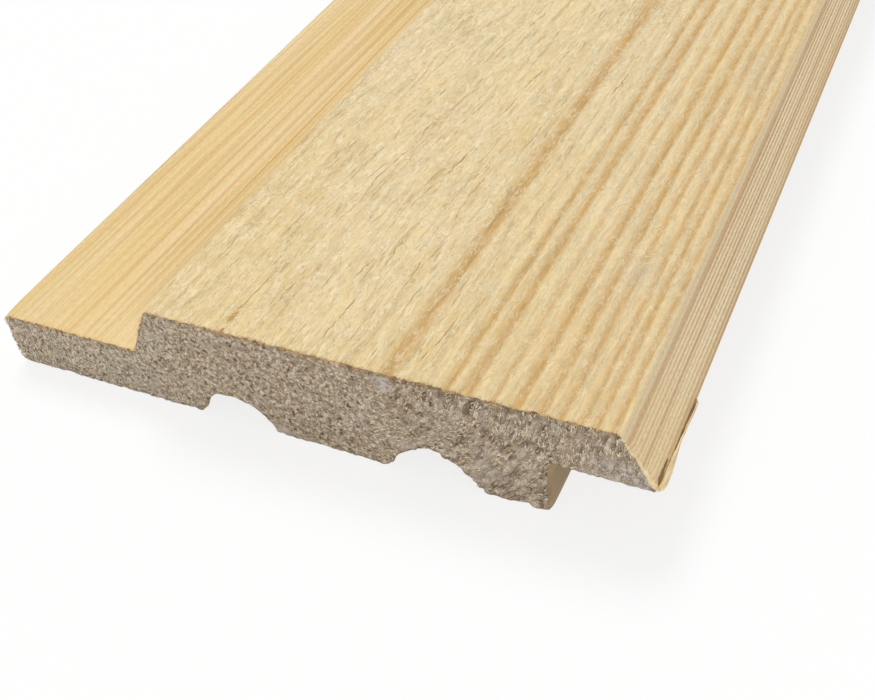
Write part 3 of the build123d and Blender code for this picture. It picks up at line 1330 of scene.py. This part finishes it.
@dataclass
class FaceChecks:
    """Short checks in the sawn face, each a thin slit that tapers at both ends; the open checks'
    dark fill is painted shade, the resin checks' fill is resin colour.

    Each entry of slits is a width, then pairs of a running place across and a distance
    from the near end through which the slit runs, in millimetres.
    """

    name: str
    material: bpy.types.Material
    section: BoardSection
    relief: Relief
    slits: tuple[tuple[float, ...], ...]
    shake: float = 0.18
    closing: float = 0.50
    stations: int = 44

    def line(self, slit: tuple[float, ...]) -> np.ndarray:
        """Evenly spaced places along one slit, shape (stations, 2)."""
        marks = np.array(slit[1:]).reshape(-1, 2)
        return place_on(marks, np.linspace(0, along(marks)[-1], self.stations))

    def course(self) -> tuple[np.ndarray, np.ndarray, np.ndarray]:
        """Where the slits run and how wide they are.

        A slit's line is shaken across by noise. Its width follows the root of a sine,
        so it tapers at both ends, times a noise that nearly closes it in places.

        Returns:
            Places across, places along and half widths, each (slits, stations).
        """
        lines = np.stack([self.line(slit) for slit in self.slits])
        width = np.array([slit[0] for slit in self.slits])[:, None]
        u = np.linspace(0.004, 0.996, self.stations)[None]
        name = np.arange(len(lines))[:, None] * 7.3
        t = lines[..., 1]
        x = lines[..., 0] + self.shake * drift_noise(t / 1.5, name, Seed.CHECK, 3)
        shut = self.closing * drift_noise(t / 1.4, name + 3, Seed.CHECK, 2)
        half = 0.62 * width * np.sqrt(np.sin(np.pi * u)) * np.clip(0.75 + shut, 0.06, 1.1)
        return x, t - HALF_LENGTH, half

    def build(self) -> bpy.types.Object:
        """Builds all slits at once as thin closed wedges set into the surface.

        Each place has two points on the surface and one below them.

        Returns:
            The piece with all the slits.
        """
        x, y, half = self.course()
        lift = self.relief.face(x, y) * (x < 54) + 0.03
        wedge = [
            self.section.top_points(x - half, y, lift),
            self.section.top_points(x, y, lift - 0.28 - half),
            self.section.top_points(x + half, y, lift),
        ]
        points = np.stack(wedge, axis=2).reshape(-1, 3)
        faces = thread_faces(len(self.slits), self.stations)
        return put_mesh(self.name, points, faces, [self.material])

    def lips(self, name: str, material: bpy.types.Material) -> bpy.types.Object:
        """Builds the raised pale edge on the right of each slit, broken by noise.

        Args:
            name: Name of the piece.
            material: Its material.

        Returns:
            The piece with all the edges.
        """
        x, y, half = self.course()
        beside = x + half + 0.05
        broken = drift_noise(y / 1.1, x, Seed.LIP, 2)
        radius = 0.10 * np.clip(0.45 + 0.9 * broken, 0.05, 1)
        lift = self.relief.face(beside, y) + 0.02
        return put_threads(name, self.section.top_points(beside, y, lift), radius, material)


FACE_SLITS = (
    (0.22, 1.8, 110.0, 0.9, 106.0, 0.2, 102.0),
    (0.26, 0.1, 78.0, -1.3, 74.0, -2.1, 69.0, -3.1, 66.0),
    (0.24, -3.1, 66.0, -3.8, 61.0, -3.2, 57.0),
    (0.26, -3.3, 56.5, -4.6, 52.0, -5.7, 44.0, -5.2, 38.5),
    (0.20, -5.4, 36.5, -6.4, 30.5, -6.9, 25.0),
    (0.24, 9.8, 87.8, 8.4, 79.4),
    (0.30, 7.2, 57.8, 6.8, 52.8, 5.7, 48.0),
    (0.22, 5.6, 47.0, 5.1, 44.0, 4.0, 38.0),
    (0.22, 13.1, 51.0, 12.6, 44.0, 12.9, 37.0),
    (0.18, 4.0, 76.0, 3.1, 70.6, 1.2, 61.7),
    (0.20, -3.2, 88.3, -4.3, 85.5),
    (0.26, 6.4, 15.0, 6.2, 9.4, 5.6, 3.3),
    (0.20, 4.6, 23.9, 3.8, 18.3),
    (0.18, 7.0, 31.7, 6.9, 20.6),
    (0.20, 12.4, 26.0, 12.6, 18.0),
    (0.24, 14.2, 32.0, 13.4, 26.0),
    (0.24, 23.8, 15.0, 23.3, 9.4, 22.0, 3.3),
    (0.22, 26.2, 88.0, 25.3, 81.0),
    (0.16, 24.5, 66.0, 24.4, 59.0),
    (0.18, 25.7, 46.0, 25.4, 37.0),
    (0.22, -5.1, 14.4, -5.6, 7.2),
    (0.16, -0.2, 21.6, 0.1, 14.0),
    (0.16, -12.9, 33.0, -13.6, 24.0),
    (0.14, -17.5, 20.0, -17.9, 12.0),
    (0.16, 15.2, 20.0, 14.9, 13.0),
    (0.18, 8.7, 76.0, 8.1, 70.0),
    (0.16, 17.0, 68.0, 16.2, 58.0),
    (0.16, -9.0, 55.0, -9.9, 46.0),
    (0.14, -1.6, 97.0, -2.7, 90.0),
    (0.14, 12.6, 99.0, 11.7, 92.0),
    (0.16, -19.0, 51.2, -19.2, 56.8, -19.1, 61.8),
    (0.14, -24.3, 62.0, -24.2, 68.0, -24.2, 76.0, -24.1, 82.0),
    (0.18, -13.2, 73.3, -13.0, 78.8, -13.2, 82.7),
    (0.20, -6.4, 72.2, -6.3, 75.6),
    (0.16, -13.6, 69.8, -13.3, 71.9),
    (0.14, -2.1, 48.8, -2.0, 50.5),
    (0.16, -7.2, 43.8, -6.5, 48.4, -4.9, 51.2),
    (0.44, 31.2, 72.1, 31.3, 72.8),
    (0.40, 33.5, 52.1, 33.6, 52.8),
)
TONGUE_MARKS = (
    (-38.95, 0.45, 0.70),
    (-42.00, 0.75, 0.50),
    (-45.10, 0.75, 0.50),
    (-47.60, 0.50, 0.42),
    (-49.95, 0.45, 0.30),
    (-52.50, 0.80, 0.48),
    (-55.10, 0.60, 0.28),
    (-58.20, 0.65, 0.34),
)
NOSE_SLITS = ((0.62, 64.62, 0.4, 64.50, 1.5, 64.42, 2.7, 64.38, 3.8, 64.39, 5.4),)
RESIN_SLITS = (
    (0.26, -9.6, 15.0, -9.95, 11.0, -10.3, 6.5, -10.45, 4.2),
    (0.95, -10.32, 6.9, -10.5, 4.4, -10.75, 1.9),
    (0.55, -10.35, 1.2, -10.55, -0.35),
)
CURL_CLUMPS = (
    (-11.5, 4.6, 1.1, 16),
    (-10.2, 1.6, 0.8, 8),
    (-22.7, 34.5, 2.2, 40),
    (-20.0, 27.0, 2.6, 22),
    (-24.2, 27.3, 1.0, 10),
    (37.5, 66.6, 1.4, 9),
    (46.3, 36.2, 1.8, 14),
    (28.4, 114.0, 1.8, 12),
    (5.2, 50.5, 1.5, 10),
    (13.5, 62.0, 2.0, 12),
    (8.0, 86.0, 2.5, 14),
    (-2.6, 64.0, 0.8, 6),
)


@dataclass
class FaceFibres:
    """Pale fibres that the saw raised on the face, as fine curled threads.

    Each entry of clumps is a place across, a distance from the near end, a spread
    and a number of stouter curls.
    """

    material: bpy.types.Material
    relief: Relief
    clumps: tuple[tuple[float, float, float, int], ...]
    count: int = 2600
    reach: float = 140.0
    plane: float = 21.0

    def threads(
        self, name: str, root: np.ndarray, long: np.ndarray, wild: float, stout: float
    ) -> bpy.types.Object:
        """Builds one curled thread from each root.

        A thread runs near the grain's direction, curls aside with the square of its
        length and arches off the face by a sine.

        Args:
            name: Name of the piece.
            root: Places across and distances from the near end, shape (n, 2).
            long: Lengths, shape (n, 1).
            wild: How far directions and curls vary.
            stout: Radius of the thickest thread at its root.

        Returns:
            The piece with all the threads.
        """
        chance = np.random.default_rng(int(Seed.FIBRE) + len(root))
        n, u = len(root), np.linspace(0, 1, 6)[None]
        angle = chance.normal(0.10, wild, (n, 1))
        curl = chance.normal(0, 1.6 * wild, (n, 1)) * long
        x = root[:, :1] + long * np.sin(angle) * u + curl * u * u * 0.6
        y = np.clip(root[:, 1:] + long * np.cos(angle) * u, 0.05, self.reach + 5) - HALF_LENGTH
        rise = chance.uniform(0.2, 1.0, (n, 1)) * stout
        z = self.plane + self.relief.face(x, y) + rise * np.sin(np.pi * u * 0.8)
        radius = chance.uniform(0.5, 1.0, (n, 1)) * stout * (1 - 0.7 * u)
        return put_threads(name, spots(x, y, z), radius, self.material)

    def build(self) -> list[bpy.types.Object]:
        """Builds the fine fibres over the face and the stouter curls in their clumps.

        Fine fibres are closest near the end and fewer and shorter on the right.

        Returns:
            The two pieces.
        """
        chance = np.random.default_rng(int(Seed.FIBRE))
        x = chance.uniform(-24.8, 54.0, (self.count, 1))
        t = chance.uniform(0, 1, (self.count, 1)) ** 1.2 * self.reach
        root = np.concatenate([x, t], 1)[(x[:, 0] < 14) | (chance.random(self.count) < 0.45)]
        long = chance.uniform(0.8, 2.8, (len(root), 1)) * np.where(root[:, :1] > 14, 0.7, 1.0)
        fine = self.threads("face_fibres", root, long, 0.34, 0.09)
        table = np.array(self.clumps)
        each = np.repeat(table, table[:, 3].astype(int), axis=0)
        root = each[:, :2] + chance.normal(0, 0.5, (len(each), 2)) * each[:, 2:3]
        long = chance.uniform(1.0, 3.0, (len(root), 1))
        return [fine, self.threads("face_curls", root, long, 0.65, 0.10)]


@dataclass
class EndTufts:
    """Torn fibre ends: tufts along the end's upper edges and grains over the end."""

    fringe: bpy.types.Material
    torn: bpy.types.Material
    section: BoardSection
    relief: Relief
    edge_count: int = 1900
    grain_count: int = 3600

    def edge_tufts(self) -> bpy.types.Object:
        """Builds the tufts on the upper outline of the sawn end.

        They stand up a little over the edge and lean forward, and curl down again
        with the square of their length.

        Returns:
            The piece with all the tufts.
        """
        chance = np.random.default_rng(int(Seed.TUFT))
        n, u = self.edge_count, np.linspace(0, 1, 5)[None]
        line = self.section.face_line()
        at = chance.uniform(1.6, along(line)[-1] - 7.0, n)
        root = place_on(line, at)
        clump = ease(drift_noise(at / 1.1, 0, Seed.TUFT, 2), -0.2, 0.7)[:, None]
        share = np.where((root[:, :1] > -8) & (root[:, :1] < 46), 1.2, 0.8)
        long = chance.uniform(0.25, 0.75, (n, 1)) * (0.25 + 1.1 * clump * share)
        lean = chance.normal(0, 0.6, (n, 1))
        up = chance.uniform(-0.5, 0.85, (n, 1))
        x = root[:, :1] + long * np.sin(lean) * u
        y = 0.05 - HALF_LENGTH - long * 0.45 * u + 0.25 * (up > 0.3) * (1 - u)
        z = root[:, 1:] - 0.14 + long * up * u - 0.25 * long * u * u
        radius = chance.uniform(0.06, 0.13, (n, 1)) * (0.6 + 0.6 * clump) * (1 - 0.7 * u)
        return put_threads("edge_tufts", spots(x, y, z), radius, self.fringe)

    def grain_roots(self, chance: np.random.Generator) -> np.ndarray:
        """Places of the torn grains, spread evenly over the end by chance.

        Args:
            chance: The grains' own source of chance.

        Returns:
            Places across and up, shape (n, 2), with none on the corner torn off the
            nose and only a third of them by the nose.
        """
        grid = self.section.end_grid()
        rows, columns, _ = grid.shape
        weight = np.abs(np.diff(grid[-1, :, 0])) + 1e-6
        column = chance.choice(columns - 1, self.grain_count, p=weight / weight.sum())
        height = chance.uniform(0.05, 0.97, self.grain_count) * (rows - 1)
        row = height.astype(int)
        part = (height - row)[:, None]
        root = grid[row, column] * (1 - part) + grid[row + 1, column] * part
        root = root[(self.relief.nose_share(*root.T) <= 0) & (root[:, 0] < 57.0)]
        return root[(root[:, 0] < 50.0) | (chance.random(len(root)) < 0.35)]

    def end_grains(self) -> bpy.types.Object:
        """Builds short torn grains over the end.

        On the right each lies nearly along its growth ring, and on the left they lie
        more at random.

        Returns:
            The piece with all the grains.
        """
        chance = np.random.default_rng(int(Seed.GRAIN))
        root = self.grain_roots(chance)
        n, u = len(root), np.linspace(0, 1, 5)[None]
        side = root[:, 0] - self.relief.rings.pith_x
        up = self.relief.rings.pith_z - root[:, 1]
        spread = np.where(root[:, 0] > 14, 0.30, 0.85)
        heading = (np.arctan2(side, up) + chance.normal(0, 1, n) * spread)[:, None]
        coarse = np.where(root[:, :1] > 14, 1.4, 1.0)
        long = chance.uniform(0.3, 1.1, n)[:, None] * coarse
        x = root[:, :1] + long * np.cos(heading) * (u - 0.5)
        z = root[:, 1:] + long * np.sin(heading) * (u - 0.5)
        depth = self.relief.end(*root.T)[:, None]
        stand = chance.uniform(0.02, 0.22, (n, 1))
        y = depth - HALF_LENGTH + 0.06 - (stand + 0.06) * u**1.5
        radius = chance.uniform(0.06, 0.13, (n, 1)) * coarse * (1 - 0.55 * u)
        return put_threads("end_grains", spots(x, y, z), radius, self.torn)


@dataclass
class NoseSplinter:
    """Sliver torn from the lip's nose at the near corner, still held at its far end.

    Each row of shape is a distance from the near end, how far the sliver's outer edge
    stands off the nose there, and its width.
    """

    pale: bpy.types.Material
    # dark is painted shade for the gap between the sliver and the nose.
    dark: bpy.types.Material
    section: BoardSection
    shape: tuple[Triple, ...] = (
        (0.2, 0.20, 0.55),
        (1.2, 0.72, 0.98),
        (4.0, 0.78, 1.00),
        (6.0, 0.62, 0.82),
        (8.0, 0.47, 0.48),
        (10.0, 0.38, 0.34),
        (13.0, 0.44, 0.32),
        (16.0, 0.56, 0.32),
        (17.9, 0.58, 0.34),
        (18.6, 0.12, 0.14),
    )
    slit: tuple[float, float] = (6.6, 18.2)
    stations: int = 48

    def blade(
        self, t: np.ndarray, x: np.ndarray, z: np.ndarray, half: np.ndarray
    ) -> tuple[np.ndarray, np.ndarray]:
        """Closed upright blade along the nose: six points round each place.

        The section is a slim hexagon, as wide as its half width each way and nearly
        twice as tall.

        Args:
            t: Distances from the near end.
            x: Middle of the blade across.
            z: Middle of the blade's height, for each place or for all of them.
            half: Half its width.

        Returns:
            Points (n, 3) and quads (m, 4).
        """
        t, x, z, half = (q[:, None] for q in np.broadcast_arrays(t, x, z, half))
        corner = np.arange(6)
        turn = corner * math.pi / 3
        ring = spots(x + half * np.cos(turn), t - HALF_LENGTH, z + 1.7 * half * np.sin(turn))
        step = np.arange(len(t) - 1)[:, None] * 6
        a, b = step + corner, step + (corner + 1) % 6
        walls = np.stack([a, a + 6, b + 6, b], -1).reshape(-1, 4)
        caps = np.array([[0, 1, 2, 3], [0, 3, 4, 5], [3, 2, 1, 0], [5, 4, 3, 0]])
        caps[2:] += (len(t) - 1) * 6
        return ring.reshape(-1, 3), np.concatenate([walls, caps])

    def build(self) -> tuple[bpy.types.Object, bpy.types.Object]:
        """Builds the sliver and, behind its thin far part, a dark slit of painted shade.

        The sliver's edges run through its shape, with a little noise, and the slit
        fills the gap between it and the nose.

        Returns:
            The sliver and the slit.
        """
        at, outer, width = np.array(self.shape).T
        nose = self.section.half_width
        t = np.linspace(at[0], at[-1], self.stations)
        shake = 0.04 * drift_noise(t / 1.6, 0, Seed.SPLINTER, 2)
        edge, wide = nose + np.interp(t, at, outer) + shake, np.interp(t, at, width)
        blade = self.blade(t, edge - wide / 2, 11.55 + 0.5 * (1 - wide), wide / 2)
        sliver = put_mesh("nose_splinter", *blade, [self.pale])
        t = np.linspace(*self.slit, self.stations)
        edge = nose + np.interp(t, at, outer) - np.interp(t, at, width)
        half = 0.17 * np.sqrt(np.sin(np.linspace(0.02, 0.98, self.stations) * math.pi))
        blade = self.blade(t, edge - 0.08, self.section.nose_top, half)
        return sliver, put_mesh("nose_slit_shade", *blade, [self.dark])


# Studio


@dataclass(frozen=True)
class Studio:
    """Camera of the picture, soft lamps, pale world and floor.

    Each entry of lamps is a name, the direction in which the light travels, its
    strength on a surface that faces it, over pi, and the lamp's width in degrees.
    """

    place: Triple = (0.08707, -0.99827, 0.13535)
    right: Triple = (0.900072, 0.422151, -0.107978)
    down: Triple = (0.219454, -0.653249, -0.724642)
    ahead: Triple = (-0.376445, 0.628534, -0.680613)
    lens: float = 46.652
    lamps: tuple[tuple[str, Triple, float, float], ...] = (
        ("key_lamp", (0.30, -0.40, -0.86), 1.45, 26.0),
        ("front_lamp", (-0.50, 0.70, -0.50), 1.35, 40.0),
    )
    world_colour: Colour = (1.0, 0.985, 0.96)
    world_strength: float = 0.46
    floor_reach: float = 9000.0
    floor_gap: float = 0.25

    def camera(self) -> None:
        """Sets the camera where the picture was taken, from its three directions."""
        data = bpy.data.cameras.new("picture_camera")
        data.lens, data.sensor_width = self.lens, 36.0
        data.clip_start, data.clip_end = 0.01, 50.0
        camera = bpy.data.objects.new("picture_camera", data)
        turn = Matrix((self.right, [-c for c in self.down], [-c for c in self.ahead]))
        camera.matrix_world = Matrix.Translation(self.place) @ turn.transposed().to_4x4()
        bpy.context.scene.collection.objects.link(camera)
        bpy.context.scene.camera = camera

    def light(self) -> None:
        """Adds the soft even lamps."""
        for name, towards, strength, spread in self.lamps:
            data = bpy.data.lights.new(name, "SUN")
            data.energy, data.angle = strength, math.radians(spread)
            lamp = bpy.data.objects.new(name, data)
            lamp.rotation_mode = "QUATERNION"
            lamp.rotation_quaternion = (-Vector(towards)).to_track_quat("Z", "Y")
            bpy.context.scene.collection.objects.link(lamp)

    def world(self) -> None:
        """A pale even sky for the light, and plain white where the camera sees it."""
        bench = NodeBench("pale_room", "worlds")
        tone = {"Color": self.world_colour, "Strength": self.world_strength}
        room = bench.node("ShaderNodeBackground", tone)
        white = bench.node("ShaderNodeBackground", {"Color": (1.0,) * 3, "Strength": 1.0})
        feeds = {0: bench.seen("Camera", "Transmission"), 1: room, 2: white}
        bpy.context.scene.world = bench.show(bench.node("ShaderNodeMixShader", feeds))

    def floor(self) -> bpy.types.Object:
        """Lays the floor just under the board's back."""
        x, y = np.meshgrid(*[[-self.floor_reach, self.floor_reach]] * 2)
        points = spots(x.ravel(), y.ravel(), -self.floor_gap)
        faces = np.array([[0, 1, 3, 2]])
        return put_mesh("pale_floor", points, faces, [PaleFloorFinish().build()])

    def build(self) -> None:
        """Sets up the whole studio: camera, lamps, world, floor and view transform."""
        self.camera()
        self.light()
        self.world()
        self.floor()
        bpy.context.scene.view_settings.view_transform = "Standard"


FIBRE_TONES = {
    "check_shadow": ((0.44, 0.300, 0.130), (0.56, 0.400, 0.190)),
    "raised_fibre": ((0.93, 0.82, 0.56), (0.86, 0.71, 0.42)),
    "resin_check": ((0.66, 0.43, 0.18), (0.48, 0.29, 0.11)),
    # Painted shade for the gap behind the nose's sliver and for the check by the nose.
    "nose_gap_shade": ((0.20, 0.12, 0.045), (0.27, 0.17, 0.07)),
    "fringe": ((0.29, 0.19, 0.10), (0.62, 0.44, 0.25)),
    "torn_grain": ((0.82, 0.72, 0.56), (0.40, 0.31, 0.21)),
}


def board_finishes() -> list[bpy.types.Material]:
    """Finishes of the board's surface, in the order of the zones."""
    # Painted shade: the groove walls, the rabbet's wall and the lip's underside take a darker
    # copy of the planed finish, as they face down and into the grooves.
    wall = PlanedFinish(
        "machined_wall_in_shade",
        pale=(0.385, 0.285, 0.160),
        golden=(0.325, 0.235, 0.125),
        line=(0.240, 0.155, 0.072),
        mark=(0.210, 0.135, 0.060),
    )
    back = PlanedFinish("planed_back", pale=(0.76, 0.61, 0.36), golden=(0.70, 0.54, 0.30))
    finishes = {
        Zone.SAWN_FACE: SawnFaceFinish(),
        Zone.PLANED: PlanedFinish("planed_tongue", marks=TONGUE_MARKS),
        Zone.REEDED_BEVEL: ReededBevelFinish(),
        Zone.END_GRAIN: EndGrainFinish(),
        Zone.MACHINED: wall,
        Zone.BACK: back,
        Zone.TORN_NOSE: TornWoodFinish("torn_nose"),
    }
    return [finishes[zone].build() for zone in Zone]


def keep(piece: bpy.types.Object) -> bpy.types.Object:
    """Ties a piece to the board's body and reports it."""
    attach(piece, "root")
    log.info("%s: %d faces", piece.name, len(piece.data.polygons))
    return piece


def main() -> None:
    """Builds the board's surface, its loose fibres and the studio, in that order."""
    logging.basicConfig(level=logging.INFO, format="%(name)s: %(message)s")
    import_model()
    section, relief = BoardSection(), Relief()
    skin = keep(BoardSkin(board_finishes(), section, relief).build())
    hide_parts(NODE)
    fibre = {name: FibreFinish(name, *tones).build() for name, tones in FIBRE_TONES.items()}
    # The open checks' dark fill is painted shade inside the cracks.
    checks = FaceChecks("face_check_shadows", fibre["check_shadow"], section, relief, FACE_SLITS)
    resin, gap = fibre["resin_check"], fibre["nose_gap_shade"]
    pieces = [
        checks.build(),
        checks.lips("check_lips", fibre["raised_fibre"]),
        FaceChecks("resin_checks", resin, section, relief, RESIN_SLITS, 0.05, 0.15).build(),
        # Painted shade: the check by the nose is filled with the dark gap colour.
        FaceChecks("nose_check_shade", gap, section, relief, NOSE_SLITS, 0.05, 0.3).build(),
        *FaceFibres(fibre["raised_fibre"], relief, CURL_CLUMPS).build(),
    ]
    tufts = EndTufts(fibre["fringe"], fibre["torn_grain"], section, relief)
    pieces += [tufts.edge_tufts(), tufts.end_grains()]
    pieces += NoseSplinter(TornWoodFinish("splinter_wood").build(), gap, section).build()
    for piece in pieces:
        keep(piece)
    Studio().build()


if __name__ == "__main__":
    main()
